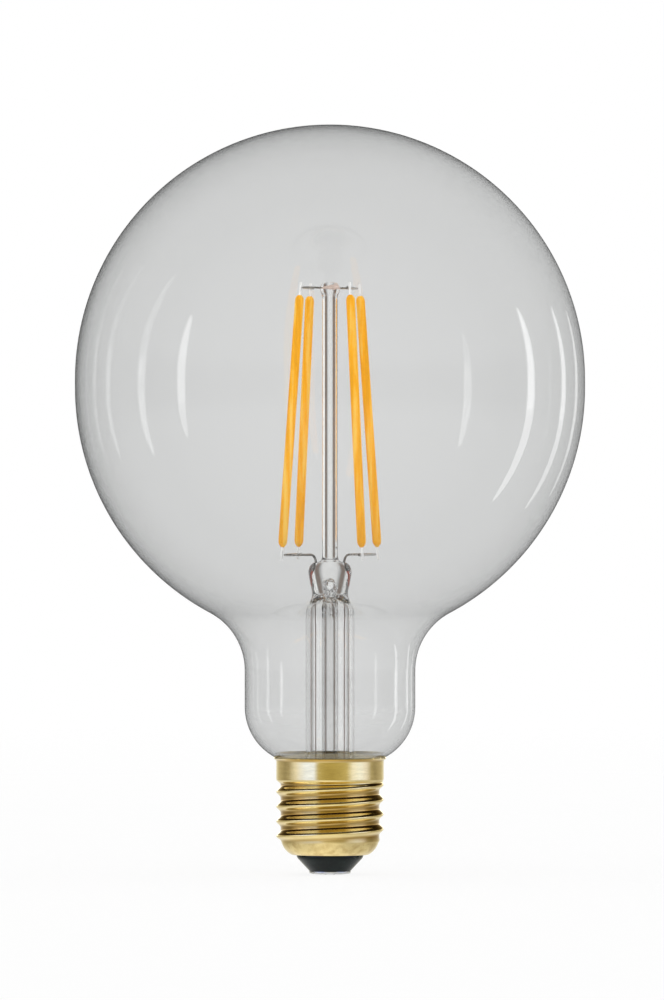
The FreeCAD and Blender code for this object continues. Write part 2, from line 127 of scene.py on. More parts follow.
class BulbCapSizes(PropertyGroup):
    """Sizes of the screw cap"""

    crest: length("Crest diameter", "Diameter over the thread", 26.4 * MM)
    root: length("Root diameter", "Diameter in the thread's valleys", 24.2 * MM)
    pitch: length("Pitch", "Rise of the thread in one turn", 3.629 * MM)
    crest_height: length("Crest height", "Height of a crest on the left side", 20.3 * MM)
    sharpness: FloatProperty(
        name="Sharpness", description="How narrow the crests are", default=1.7, min=0.5, max=4.0)
    wall: length("Wall", "Thickness of the brass sheet", 0.3 * MM)
    bottom: length("Bottom", "Height of the shell's mouth", shell_low.z)
    rim: length("Rim", "Height of the shell's rim", 28.5 * MM)
    foot_radius: length("Foot radius", "Radius of the rounded foot", 5.0 * MM)
    foot_height: length("Foot height", "Height of the rounded foot", 4.4 * MM)
    collar: length("Collar height", "Height of the plain collar", 4.3 * MM)
    lip: length("Lip height", "Height of the flared lip", 0.7 * MM)
    flare: length("Lip flare", "How far the lip stands out", 0.7 * MM)
    fade: length("Thread fade", "Height over which the thread runs out", 1.5 * MM)
    contact: length("Contact diameter", "Diameter of the tip contact", contact_high.x - contact_low.x)
    contact_thickness: length("Contact thickness", "Thickness of the tip contact", 0.8 * MM)
    insulator: length("Insulator diameter", "Widest diameter of the insulator", 16.4 * MM)
    segments: IntProperty(name="Segments", description="Steps round the cap", default=160, min=16)


class BulbFilamentSizes(PropertyGroup):
    """Sizes of the filaments"""

    diameter: length("Diameter", "Diameter of the coated body", 2.2 * MM)
    tip: length("Tip diameter", "Diameter of the coating's ends", 1.1 * MM)
    taper: length("Taper", "Length over which each end draws in", 1.4 * MM)
    segments: IntProperty(name="Segments", description="Steps round a filament", default=32, min=8)


class BulbFinishes(PropertyGroup):
    """Colours of the bulb"""

    glass: colour("Glass tint", "Tint of the glass in its thickness", (0.811, 0.816, 0.814))
    glass_density: density("Glass density", "How strongly the glass takes up light, per metre", 1030.0)
    stem: colour("Stem tint", "Tint of the stem's glass", (0.86, 0.86, 0.85))
    stem_density: density("Stem density", "How strongly the stem takes up light, per metre", 220.0)
    brass: colour("Brass", "Colour of the screw shell", (0.85, 0.68, 0.31))
    # Painted shade with tarnish: the brass turns this colour in the thread's valleys and under the lip, where
    # shade falls, and in random patches on the foot
    tarnish_and_shade: colour("Tarnish", "Colour of the brass in the valleys", (0.36, 0.19, 0.02))
    # Also gives the coating's painted glow its colour
    coating: colour("Coating", "Colour of the filament coating", (1.0, 0.44, 0.008))
    # Painted highlight: the coating's pale streaks stand in for its sheen
    coating_sheen: colour("Pale coating", "Colour of the coating's streaks", (1.0, 0.60, 0.10))
    insulator: colour("Insulator", "Colour of the insulator", (0.007, 0.012, 0.011))
    steel: colour("Lead wire", "Colour of the lead wires", (0.55, 0.53, 0.50))
    # Also the colour of the tabs' painted glow
    silver: colour("Tabs and contact", "Colour of the tabs and the contact", (0.93, 0.93, 0.92))
    copper: colour("Seal wire", "Colour of the seal wires", (0.80, 0.22, 0.16))
    # Also the colour of the bridge wire's painted glow inside the button
    oxide: colour("Bonded wire", "Colour of the bridge wire where glass holds it", (0.88, 0.70, 0.62))
    outer_lead: colour("Outer lead", "Colour of the outer lead wires", (0.74, 0.55, 0.50))


class BulbStage(PropertyGroup):
    """Camera and light"""

    distance: length("Camera distance", "Distance of the camera from the bulb", 2.3)
    height: length("Camera height", "Height of the camera", 91.8 * MM)
    offset: length("Camera offset", "How far the camera stands to the right", 0.49 * MM)
    lens: FloatProperty(name="Lens", description="Focal length", default=337.8, min=1.0, unit="CAMERA")
    room: share("Room light", "Even light of the room", 0.62)


# Modelling
def pick_nothing():
    bpy.ops.object.select_all(action="DESELECT")


class Profile:
    """A run of edges in the XZ plane, drawn on from its last point and then turned about Z."""

    def __init__(self, name, radius, height):
        pick_nothing()
        bpy.ops.mesh.primitive_plane_add(size=MM, location=(0, 0, 0))
        self.piece = bpy.context.object
        self.piece.name = name
        self.spot = (radius, height)
        bpy.ops.object.mode_set(mode="EDIT")
        bpy.ops.mesh.select_mode(type="VERT")
        bpy.ops.mesh.select_all(action="SELECT")
        bpy.ops.mesh.merge(type="CENTER")
        bpy.ops.transform.translate(value=(radius, 0, height))

    def line(self, radius, height, steps=1):
        step = ((radius - self.spot[0]) / steps, 0, (height - self.spot[1]) / steps)
        for _ in range(steps):
            bpy.ops.mesh.extrude_vertices_move(TRANSFORM_OT_translate={"value": step})
        self.spot = (radius, height)

    def arc(self, centre, degrees, steps):
        angle = math.radians(degrees)
        bpy.ops.mesh.spin(
            steps=steps, angle=angle, use_auto_merge=False, center=(centre[0], 0, centre[1]), axis=(0, 1, 0))
        across, up = self.spot[0] - centre[0], self.spot[1] - centre[1]
        self.spot = (
            centre[0] + across * math.cos(angle) - up * math.sin(angle),
            centre[1] + across * math.sin(angle) + up * math.cos(angle))

    def turn(self, segments):
        bpy.ops.mesh.select_all(action="SELECT")
        bpy.ops.mesh.spin(steps=segments, angle=2 * math.pi, center=(0, 0, 0), axis=(0, 0, 1))
        bpy.ops.mesh.select_all(action="SELECT")
        bpy.ops.mesh.remove_doubles(threshold=MM / 1000)
        bpy.ops.mesh.normals_make_consistent(inside=False)
        bpy.ops.object.mode_set(mode="OBJECT")
        return self.piece


def stack_rings(name, rings, segments):
    """A closed skin through oval rings (height, half width, half depth), with a point at each end."""
    pick_nothing()
    height, width, depth = rings[0]
    bpy.ops.mesh.primitive_circle_add(vertices=segments, radius=1.0, fill_type="NOTHING", location=(0, 0, 0))
    piece = bpy.context.object
    piece.name = name
    bpy.ops.object.mode_set(mode="EDIT")
    bpy.ops.mesh.select_all(action="SELECT")
    bpy.ops.transform.resize(value=(width, depth, 1), center_override=(0, 0, 0))
    bpy.ops.transform.translate(value=(0, 0, height))
    bpy.ops.mesh.edge_face_add()
    bpy.ops.mesh.poke()
    bpy.ops.mesh.select_mode(type="VERT")
    bpy.ops.mesh.select_all(action="DESELECT")
    bpy.ops.object.mode_set(mode="OBJECT")
    for vertex in piece.data.vertices:
        vertex.select = math.hypot(vertex.co.x, vertex.co.y) > min(width, depth) / 2
    bpy.ops.object.mode_set(mode="EDIT")
    bpy.ops.mesh.select_mode(type="EDGE")
    for next_height, next_width, next_depth in rings[1:]:
        bpy.ops.mesh.extrude_edges_move(TRANSFORM_OT_translate={"value": (0, 0, next_height - height)})
        bpy.ops.transform.resize(
            value=(next_width / width, next_depth / depth, 1), center_override=(0, 0, next_height))
        height, width, depth = next_height, next_width, next_depth
    bpy.ops.mesh.edge_face_add()
    bpy.ops.mesh.poke()
    bpy.ops.mesh.select_all(action="SELECT")
    bpy.ops.mesh.normals_make_consistent(inside=False)
    bpy.ops.object.mode_set(mode="OBJECT")
    return piece


def make_active(piece):
    pick_nothing()
    piece.select_set(True)
    bpy.context.view_layer.objects.active = piece


def thicken(piece, wall):
    make_active(piece)
    skin = piece.modifiers.new("Wall", "SOLIDIFY")
    skin.thickness = wall
    skin.offset = -1.0
    skin.use_even_offset = True
    bpy.ops.object.modifier_apply(modifier=skin.name)


def cut_away(piece, tool):
    make_active(piece)
    cut = piece.modifiers.new("Cut", "BOOLEAN")
    cut.operation = "DIFFERENCE"
    cut.solver = "EXACT"
    cut.object = tool
    bpy.ops.object.modifier_apply(modifier=cut.name)
    bpy.data.objects.remove(tool, do_unlink=True)


def crumple(piece, depth, size, chosen):
    """The unevenness of melted glass, on the points that a test picks."""
    make_active(piece)
    melted = piece.vertex_groups.new(name="melted")
    melted.add([vertex.index for vertex in piece.data.vertices if chosen(vertex.co)], 1.0, "REPLACE")
    lumps = bpy.data.textures.new("melted", "CLOUDS")
    lumps.noise_scale = size
    lumps.noise_depth = 2
    uneven = piece.modifiers.new("Melted", "DISPLACE")
    uneven.texture = lumps
    uneven.texture_coords = "LOCAL"
    uneven.vertex_group = melted.name
    uneven.strength = depth
    bpy.ops.object.modifier_apply(modifier=uneven.name)


def settle(piece, material, slot, *nodes):
    """Gives a finished piece its material, and puts it on the frame in place of CAD nodes."""
    piece.data.materials.clear()
    piece.data.materials.append(material)
    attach(piece, BODY)
    if nodes:
        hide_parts(*nodes)


def smooth(piece, degrees):
    make_active(piece)
    bpy.ops.object.shade_smooth_by_angle(angle=math.radians(degrees))


def dress(node, material):
    """Puts a material on a CAD node that keeps its own shape."""
    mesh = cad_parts[node].data
    if not mesh.materials:
        mesh.materials.append(material)
    for index in range(len(mesh.materials)):
        mesh.materials[index] = material


# Materials
def rgba(value):
    """A colour with full alpha, from three parts or from one level of grey."""
    parts = (value, value, value) if isinstance(value, float) else value
    return (*parts, 1.0)


def darker(values, factor):
    return tuple(value * factor for value in values)


class Nodes:
    """A node tree, with helpers that add a node, fill its inputs and give back its output."""

    def __init__(self, tree):
        self.tree = tree

    def add(self, kind):
        return self.tree.nodes.new(kind)

    def link(self, source, target):
        self.tree.links.new(source, target)

    def fill(self, socket, value):
        """Links another node's output to a socket, or sets a plain value on it."""
        if isinstance(value, bpy.types.NodeSocket):
            self.link(value, socket)
        else:
            socket.default_value = value

    def math(self, operation, first, second=0.0):
        node = self.add("ShaderNodeMath")
        node.operation = operation
        self.fill(node.inputs[0], first)
        self.fill(node.inputs[1], second)
        return node.outputs["Value"]

    def mix(self, factor, first, second, how="MIX"):
        node = self.add("ShaderNodeMix")
        node.data_type = "RGBA"
        node.blend_type = how
        self.fill(node.inputs["Factor"], factor)
        self.fill(node.inputs["A"], first)
        self.fill(node.inputs["B"], second)
        return node.outputs["Result"]

    def blend(self, factor, stops):
        node = self.add("ShaderNodeValToRGB")
        bands = node.color_ramp.elements
        while len(bands) < len(stops):
            bands.new(0.5)
        for band, (position, value) in zip(bands, stops):
            band.position = position
            band.color = rgba(value)
        self.link(factor, node.inputs["Fac"])
        return node.outputs["Color"]

    def spread(self, factor, low, high, start=0.3, end=0.7):
        node = self.add("ShaderNodeMapRange")
        node.inputs["From Min"].default_value = start
        node.inputs["From Max"].default_value = end
        node.inputs["To Min"].default_value = low
        node.inputs["To Max"].default_value = high
        self.link(factor, node.inputs["Value"])
        return node.outputs["Result"]

    def ramp(self, source, start, end, stops):
        return self.blend(self.spread(source, 0.0, 1.0, start, end), stops)

    def axes(self, vector):
        node = self.add("ShaderNodeSeparateXYZ")
        self.link(vector, node.inputs["Vector"])
        return node.outputs["X"], node.outputs["Y"], node.outputs["Z"]


class Finish(Nodes):
    """A node material on a Principled shader, with patterns on Object coordinates."""

    def __init__(self, name):
        self.material = bpy.data.materials.new(name)
        self.material.use_nodes = True
        super().__init__(self.material.node_tree)
        self.shader = self.tree.nodes["Principled BSDF"]
        self.output = self.tree.nodes["Material Output"]
        self.place = self.add("ShaderNodeTexCoord").outputs["Object"]

    def set(self, **values):
        for socket, value in values.items():
            self.shader.inputs[socket.replace("_", " ")].default_value = value

    def noise(self, scale, detail=3.0, stretch=(1, 1, 1)):
        mapping = self.add("ShaderNodeMapping")
        mapping.inputs["Scale"].default_value = stretch
        self.link(self.place, mapping.inputs["Vector"])
        pattern = self.add("ShaderNodeTexNoise")
        pattern.inputs["Scale"].default_value = scale
        pattern.inputs["Detail"].default_value = detail
        self.link(mapping.outputs["Vector"], pattern.inputs["Vector"])
        return pattern.outputs["Fac"]

    def radius(self):
        x, y, _ = self.axes(self.place)
        squares = self.math("ADD", self.math("MULTIPLY", x, x), self.math("MULTIPLY", y, y))
        return self.math("SQRT", squares)

    def bump(self, height, depth):
        node = self.add("ShaderNodeBump")
        node.inputs["Strength"].default_value = 1.0
        node.inputs["Distance"].default_value = depth
        self.link(height, node.inputs["Height"])
        self.link(node.outputs["Normal"], self.shader.inputs["Normal"])

    def absorb(self, tint, density):
        volume = self.add("ShaderNodeVolumeAbsorption")
        volume.inputs["Color"].default_value = rgba(tint)
        volume.inputs["Density"].default_value = density
        self.link(volume.outputs["Volume"], self.output.inputs["Volume"])


def clear_glass(name, tint, density, ripple_scale, ripple_depth):
    finish = Finish(name)
    finish.set(Base_Color=(1, 1, 1, 1), Roughness=0.0, IOR=1.5, Transmission_Weight=1.0)
    finish.bump(finish.noise(ripple_scale, 1.0), ripple_depth)
    finish.absorb(tint, density)
    return finish.material


def speckled(name, first, second, scale, roughness, metallic=0.0, depth=0.00001):
    """A finish that wanders between two colours, with a little unevenness in gloss and height."""
    finish = Finish(name)
    finish.set(Metallic=metallic)
    pattern = finish.noise(scale, 4.0)
    finish.link(finish.blend(pattern, ((0.35, first), (0.65, second))), finish.shader.inputs["Base Color"])
    finish.link(finish.spread(pattern, roughness[0], roughness[1]), finish.shader.inputs["Roughness"])
    finish.bump(finish.noise(scale * 3, 2.0), depth)
    return finish


def rolled_brass(cap, finishes):
    finish = Finish("rolled_brass")
    finish.set(Metallic=1.0)
    worn = finish.noise(260.0, 3.0, (1, 1, 5))
    bright = finish.blend(worn, ((0.3, darker(finishes.brass, 0.9)), (0.7, finishes.brass)))
    tarnish_and_shade = finish.blend(worn, ((0.3, darker(finishes.tarnish_and_shade, 0.75)), (0.7, finishes.tarnish_and_shade)))
    _, _, height = finish.axes(finish.place)
    foot_top = cap.bottom + cap.foot_height
    # Painted shade with some tarnish: the brass darkens towards the thread's valleys above the foot, where
    # shade falls
    depth = finish.spread(finish.radius(), 1.0, 0.0, cap.root / 2 + 0.02 * MM, cap.root / 2 + 0.55 * MM)
    above_foot = finish.spread(height, 0.0, 0.8, foot_top - 1.6 * MM, foot_top)
    valley = finish.math("MULTIPLY", depth, above_foot)
    # Painted shadow: a dark band where the lip flares out over the collar
    rim_z = cap.rim - cap.lip * 0.55
    near_rim = finish.math("ABSOLUTE", finish.math("SUBTRACT", height, rim_z))
    rim_shadow = finish.spread(near_rim, 0.55, 0.0, 0.1 * MM, 0.4 * MM)
    mottle = finish.spread(finish.noise(520.0, 4.0), 0.0, 0.4, 0.42, 0.68)
    on_foot = finish.math("MULTIPLY", mottle, finish.math("SUBTRACT", 1.0, above_foot))
    # Painted shade in the valleys and under the lip, joined with random tarnish patches on the foot
    stain_and_shade = finish.math("MAXIMUM", finish.math("MAXIMUM", valley, on_foot), rim_shadow)
    finish.link(finish.mix(stain_and_shade, bright, tarnish_and_shade), finish.shader.inputs["Base Color"])
    finish.link(finish.spread(worn, 0.11, 0.17), finish.shader.inputs["Roughness"])
    finish.bump(finish.noise(700.0, 2.0, (1, 1, 8)), 0.0000015)
    return finish.material


def filament_coating(finishes):
    finish = Finish("silicone_coating")
    # Painted highlight: pale streaks along the filament stand in for its sheen
    streaks = finish.noise(300.0, 2.0, (3.2, 3.2, 0.07))
    fine = finish.noise(1400.0, 2.0)
    mixed = finish.math("ADD", finish.math("MULTIPLY", streaks, 0.92), finish.math("MULTIPLY", fine, 0.08))
    shade = finish.blend(mixed, (
        (0.38, darker(finishes.coating, 0.88)), (0.47, finishes.coating), (0.64, finishes.coating_sheen)))
    finish.link(shade, finish.shader.inputs["Base Color"])
    finish.link(finish.spread(fine, 0.32, 0.5), finish.shader.inputs["Roughness"])
    # Painted glow: the unlit coating gives off a little light in its own colours
    finish.link(shade, finish.shader.inputs["Emission Color"])
    finish.set(Emission_Strength=0.23, Specular_IOR_Level=0.12)
    finish.bump(mixed, 0.00002)
    return finish.material


def bonded_wire(finishes, reach):
    """Nickel wire that is pale and reddish out to a reach from the axis, where the button holds it; there it
    also gives off a little painted glow.
    """
    finish = Finish("bonded_wire")
    grain = finish.noise(900.0, 4.0)
    bare = finish.blend(grain, ((0.35, darker(finishes.steel, 0.7)), (0.65, finishes.steel)))
    held = finish.blend(grain, ((0.35, darker(finishes.oxide, 0.85)), (0.65, finishes.oxide)))
    inside = finish.spread(finish.radius(), 1.0, 0.0, reach, reach + 1.0 * MM)
    finish.link(finish.mix(inside, bare, held), finish.shader.inputs["Base Color"])
    finish.link(finish.spread(inside, 1.0, 0.1, 0.0, 1.0), finish.shader.inputs["Metallic"])
    # Painted glow: where the button holds it, the wire gives off a little light in the oxide's colour
    glow = finish.blend(inside, ((0.0, (0.0, 0.0, 0.0)), (1.0, finishes.oxide)))
    finish.link(glow, finish.shader.inputs["Emission Color"])
    finish.set(Emission_Strength=0.3)
    finish.link(finish.spread(grain, 0.22, 0.4), finish.shader.inputs["Roughness"])
    finish.bump(finish.noise(2700.0, 2.0), 0.00001)
    return finish.material


def glossy_black(finishes):
    grey = darker(finishes.insulator, 2.2)
    finish = speckled("glossy_black", finishes.insulator, grey, 260.0, (0.1, 0.22), depth=0.00002)
    finish.set(Specular_IOR_Level=0.16)
    return finish.material


# Pieces
class BULB_OT_envelope(Operator):
    """Blow the glass globe with its neck"""

    bl_idname = "bulb.envelope"
    bl_label = "Glass Envelope"

    def execute(self, context):
        glass = context.scene.bulb_glass
        finishes = context.scene.bulb_finishes
        radius = glass.diameter / 2
        neck = glass.neck / 2
        seal = glass.seal / 2
        blend = (neck + glass.blend, glass.blend_height)
        upper = (0.0, glass.top - radius)
        lower = (0.0, upper[1] - glass.straight)
        globe_end = math.degrees(math.atan2(blend[1] - lower[1], blend[0]))
        shoulder = (neck - glass.shoulder, glass.shoulder_height)
        seal_r = seal + glass.seal_blend
        drop = math.sqrt((glass.shoulder + glass.seal_blend) ** 2 - (seal_r - shoulder[0]) ** 2)
        seal_centre = (seal_r, shoulder[1] - drop)
        shoulder_end = math.degrees(math.atan2(-drop, seal_r - shoulder[0]))

        side = Profile("glass_envelope", 0.0, glass.top)
        side.arc(upper, -90, 56)
        side.line(radius, lower[1], 2)
        side.arc(lower, globe_end, 40)
        side.arc(blend, -globe_end, 18)
        side.line(neck, shoulder[1], 6)
        side.arc(shoulder, shoulder_end, 18)
        side.arc(seal_centre, -shoulder_end, 10)
        side.line(seal, glass.seal_height, 4)
        piece = side.turn(glass.segments)
        thicken(piece, glass.wall)
        smooth(piece, 60)
        material = clear_glass("blown_glass", finishes.glass, finishes.glass_density, 18.0, 0.000004)
        settle(piece, material, "clear_glass", "glass_globe")
        return {"FINISHED"}


class StemLines:
    """The stem's half sizes, and the lines of points (radius, height) that its skin follows."""

    ceiling_rise = 3.95 * MM
    ceiling_steps = 14
    flange_edge = 0.8 * MM
    collar = 0.55 * MM
    shoulder = 1.7 * MM
    foot = 1.6 * MM

    def __init__(self, stem, seal_z):
        self.stem = stem
        self.seal_z = seal_z
        self.end = stem.tube_end
        self.tube = stem.tube / 2
        self.bore = self.tube - stem.wall
        self.exhaust = stem.exhaust / 2
        self.rim = stem.flange / 2
        self.flat = self.rim - self.flange_edge
        self.sweep = self.flat - self.tube
        self.turns = [math.radians(180 + 90 * step / 10) for step in range(11)]
        self.press_top = stem.tube_end + stem.press
        self.neck_z = stem.button_height - 2.8 * MM

    def exhaust_tube(self):
        """From the sealed tip up the outside of the exhaust tube to the flare tube's ceiling."""
        exhaust, tip, end = self.exhaust, self.stem.tip, self.end
        points = [(0.02 * MM, tip), (0.6 * MM, tip + 0.4 * MM), (1.2 * MM, tip + 1.3 * MM)]
        points += [(exhaust * 0.92, tip + 2.5 * MM), (exhaust, tip + 3.6 * MM)]
        run = end - tip - 5.2 * MM
        points += [(exhaust, tip + 3.6 * MM + run * step / 6) for step in range(1, 7)]
        points += [(exhaust, end + step * 0.4 * MM) for step in range(-3, 9)]
        points += [(exhaust + 0.2 * MM, end + 3.8 * MM), (exhaust + self.collar, end + self.ceiling_rise)]
        return points

    def flare_inside(self):
        """Over the ceiling, down the flare tube's inside and under its flange to the rim."""
        bore, end, wall = self.bore, self.end, self.stem.wall
        slope = bore - self.exhaust - self.collar
        points = []
        for step in range(1, self.ceiling_steps + 1):
            left = 1 - step / self.ceiling_steps
            points.append((bore - slope * left ** 2, end + self.ceiling_rise * left))
        points += [(bore, end - step * MM) for step in (0.4, 0.8, 1.2, 1.7)]
        run = end - self.shoulder - self.seal_z - self.sweep
        points += [(bore, end - self.shoulder - run * step / 7) for step in range(1, 7)]
        bend = self.sweep + wall
        points += [(self.flat + bend * math.cos(turn), self.seal_z + self.sweep + bend * math.sin(turn))
                   for turn in self.turns]
        points += [(self.rim - 0.2 * MM, self.seal_z - wall), (self.rim, self.seal_z - wall + 0.2 * MM)]
        return points

    def flare_outside(self):
        """Over the flange and up the flare tube's outside to the press."""
        sweep, seal_z = self.sweep, self.seal_z
        points = [(self.rim, seal_z), (self.flat, seal_z)]
        points += [(self.flat + sweep * math.cos(turn), seal_z + sweep + sweep * math.sin(turn))
                   for turn in reversed(self.turns[:-1])]
        run = self.end - 0.6 * MM - seal_z - sweep
        points += [(self.tube, seal_z + sweep + run * step / 6) for step in range(1, 7)]
        return points

    def press_rings(self):
        """Oval rings of the press, on a smooth line through its main sections."""
        sections = (
            (0.0, self.tube, self.tube), (0.36, 4.4 * MM, 3.9 * MM), (0.58, 4.83 * MM, 3.3 * MM),
            (0.82, 5.25 * MM, 2.7 * MM), (0.94, 4.87 * MM, 2.5 * MM), (1.0, 4.1 * MM, 2.3 * MM))
        rings = []
        for index in range(len(sections) - 1):
            start, end = sections[index], sections[index + 1]
            before = sections[max(index - 1, 0)]
            after = sections[min(index + 2, len(sections) - 1)]
            for step in range(8):
                rings.append(self.between(before, start, end, after, step / 8))
        rings.append(sections[-1])
        rings = [(self.end + share_up * self.stem.press, width, depth) for share_up, width, depth in rings]
        rings += [(self.press_top + 0.18 * MM, 3.5 * MM, 2.2 * MM)]
        rings += [(self.press_top + 0.26 * MM, 2.9 * MM, 2.15 * MM)]
        return rings

    def between(self, before, start, end, after, along):
        """A point of the smooth line between two sections."""
        span = end[0] - start[0]
        values = [start[0] + span * along]
        for axis in (1, 2):
            leave = 0.0 if start is before else (end[axis] - before[axis]) / (end[0] - before[0]) * span
            reach = (after[axis] - start[axis]) / (after[0] - start[0]) * span
            a = 2 * start[axis] - 2 * end[axis] + leave + reach
            b = -3 * start[axis] + 3 * end[axis] - 2 * leave - reach
            values.append(((a * along + b) * along + leave) * along + start[axis])
        return tuple(values)

    def pillar(self):
        """From the press up the pillar to the neck of the button."""
        radius, base = self.stem.pillar / 2, self.press_top
        points = [(radius + 0.45 * MM, base + 0.4 * MM), (radius + 0.2 * MM, base + 0.8 * MM)]
        points += [(radius, base + self.foot)]
        run = self.neck_z - base - self.foot
        points += [(radius, base + self.foot + run * step / 8) for step in range(1, 9)]
        return points

    def button(self):
        """Over the flared and rounded button to its top."""
        pillar, radius = self.stem.pillar / 2, self.stem.button / 2
        flare = ((0.0, 0.4), (0.05, 0.8), (0.18, 1.2), (0.34, 1.6))
        side = ((0.1, 2.0), (0.0, 2.4), (0.0, 2.8), (0.08, 3.15), (0.28, 3.45))
        dome = ((0.6, 0.24), (0.95, 0.1), (1.4, 0.03), (1.9, 0.01))
        points = [(pillar + out * MM, self.neck_z + up * MM) for out, up in flare]
        points += [(radius - back * MM, self.neck_z + up * MM) for back, up in side]
        points += [(radius - back * MM, self.stem.top - down * MM) for back, down in dome]
        points += [(0.05 * MM, self.stem.top)]
        return points

    def rings(self):
        def round_rings(points):
            return [(height, radius, radius) for radius, height in points]

        below = round_rings(self.exhaust_tube() + self.flare_inside() + self.flare_outside())
        return below + self.press_rings() + round_rings(self.pillar() + self.button())


class BULB_OT_stem(Operator):
    """Form the flare tube, press, exhaust tube, pillar and button as one piece of glass"""

    bl_idname = "bulb.stem"
    bl_label = "Glass Stem"

    def passage(self, stem):
        """The exhaust tube's bore, with its narrowed and uneven end in the press."""
        hole = stem.bore / 2
        melt = stem.vent_height - 3.2 * MM
        bore = Profile("passage", 0.0, stem.tip + 2.0 * MM)
        bore.line(hole, stem.tip + 3.4 * MM)
        bore.line(hole, melt - 2.4 * MM, 8)
        bore.line(hole, melt - 1.6 * MM, 4)
        bore.line(hole * 0.94, melt - 1.0 * MM, 3)
        bore.line(hole * 0.72, melt, 4)
        bore.line(hole * 0.8, melt + 0.8 * MM, 4)
        bore.line(hole, stem.vent_height, 8)
        bore.arc((0.0, stem.vent_height), 90, 12)
        tool = bore.turn(48)
        crumple(tool, 1.1 * MM, 0.9 * MM, lambda spot: spot.z > melt)
        return tool

    def vent(self, stem):
        """The blow hole through the front of the press."""
        reach = stem.tube / 2
        pick_nothing()
        bpy.ops.mesh.primitive_cylinder_add(
            vertices=40, radius=stem.vent / 2, depth=reach, rotation=(math.pi / 2, 0, 0),
            location=(0, -reach / 2, stem.vent_height))
        return bpy.context.object

    def execute(self, context):
        stem = context.scene.bulb_stem
        finishes = context.scene.bulb_finishes
        lines = StemLines(stem, context.scene.bulb_glass.seal_height)
        piece = stack_rings("clear_stem", lines.rings(), stem.segments)

        low, high = stem.tube_end + 0.5 * MM, stem.tube_end + 4.3 * MM
        crumple(piece, 0.8 * MM, 1.1 * MM,
                lambda spot: low < spot.z < high and math.hypot(spot.x, spot.y) < 3.7 * MM)
        button_low, button_high = lines.neck_z + 1.4 * MM, stem.top - 0.05 * MM
        crumple(piece, 0.18 * MM, 0.8 * MM, lambda spot: button_low < spot.z < button_high)
        cut_away(piece, self.passage(stem))
        cut_away(piece, self.vent(stem))
        smooth(piece, 50)
        material = clear_glass("drawn_glass", finishes.stem, finishes.stem_density, 120.0, 0.00003)
        settle(piece, material, "stem_glass", "glass_stem")
        return {"FINISHED"}


class BULB_OT_filaments(Operator):
    """Coat the four LED filaments"""

    bl_idname = "bulb.filaments"
    bl_label = "Filaments"

    def ends(self, node):
        """The middle of a filament's two ends, read from its CAD node."""
        low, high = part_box(node)
        bottom, top = [], []
        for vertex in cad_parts[node].data.vertices:
            if vertex.co.z < low.z + 1.2 * MM:
                bottom.append(vertex.co)
            if vertex.co.z > high.z - 1.2 * MM:
                top.append(vertex.co)
        return sum(bottom, Vector()) / len(bottom), sum(top, Vector()) / len(top), low.z, high.z

    def execute(self, context):
        sizes = context.scene.bulb_filaments
        full = sizes.diameter / 2
        tip = sizes.tip / 2
        material = filament_coating(context.scene.bulb_finishes)
        for side in SIDES:
            for place in PLACES:
                node = "filament_%s_%s" % (place, side)
                bottom, top, low_z, high_z = self.ends(node)
                axis = (top - bottom).normalized()
                start = bottom - axis * ((bottom.z - low_z) / axis.z - 0.05 * MM)
                reach = (high_z - low_z) / axis.z - 0.1 * MM
                rod = Profile("coated_filament_%s_%s" % (place, side), 0.0, 0.0)
                rod.line(tip * 0.6, 0.0)
                rod.line(tip, 0.25 * MM)
                for width, along in ((0.82, 0.55), (0.95, 0.85), (1.0, 1.3)):
                    rod.line(full * width, sizes.taper * along)
                rod.line(full, reach - sizes.taper, 24)
                for width, left in ((0.96, 0.7), (0.84, 0.42), (0.62, 0.16), (0.34, 0.02)):
                    rod.line(full * width, reach - sizes.taper * left)
                rod.line(0.0, reach)
                piece = rod.turn(sizes.segments)
                lean = axis.to_track_quat("Z", "Y").to_matrix().to_4x4()
                piece.matrix_world = Matrix.Translation(start) @ lean
                make_active(piece)
                bpy.ops.object.transform_apply(location=True, rotation=True, scale=True)
                smooth(piece, 60)
                settle(piece, material, "filament_coating", node)
        return {"FINISHED"}


